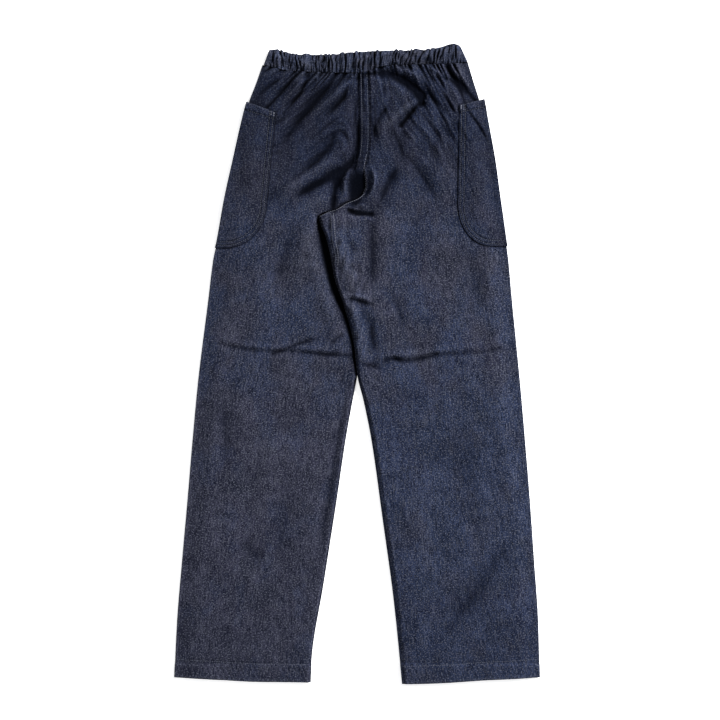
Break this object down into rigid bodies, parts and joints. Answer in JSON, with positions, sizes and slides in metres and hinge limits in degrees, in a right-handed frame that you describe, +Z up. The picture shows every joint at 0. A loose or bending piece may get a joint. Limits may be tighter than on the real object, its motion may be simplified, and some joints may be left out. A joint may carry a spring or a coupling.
{
  "type": "denim trousers",
  "caption": "Wide straight pull-on denim trousers laid flat, with a gathered elastic waist and patch pockets that wrap round the side seams.",
  "frame": {"origin": "on the surface the trousers lie on, below the middle of their outline", "axes": "+Y from the hems to the waist, +Z up out of the front of the trousers, +X to the right seen from above"},
  "size_m": [0.5616, 0.985, 0.0144],
  "materials": {
    "denim_front": "dark indigo denim, matte twill with a slight fleck",
    "denim_back": "dark indigo denim, matte twill with a slight fleck",
    "denim_casing": "dark indigo denim gathered over elastic",
    "denim_pocket": "dark indigo denim, matte twill with a slight fleck"
  },
  "bodies": {
    "root": {"front_left": "denim_front", "front_right": "denim_front", "back_left": "denim_back", "back_right": "denim_back", "waist_casing": "denim_casing", "pocket_left": "denim_pocket", "pocket_right": "denim_pocket"}
  },
  "joints": []
}
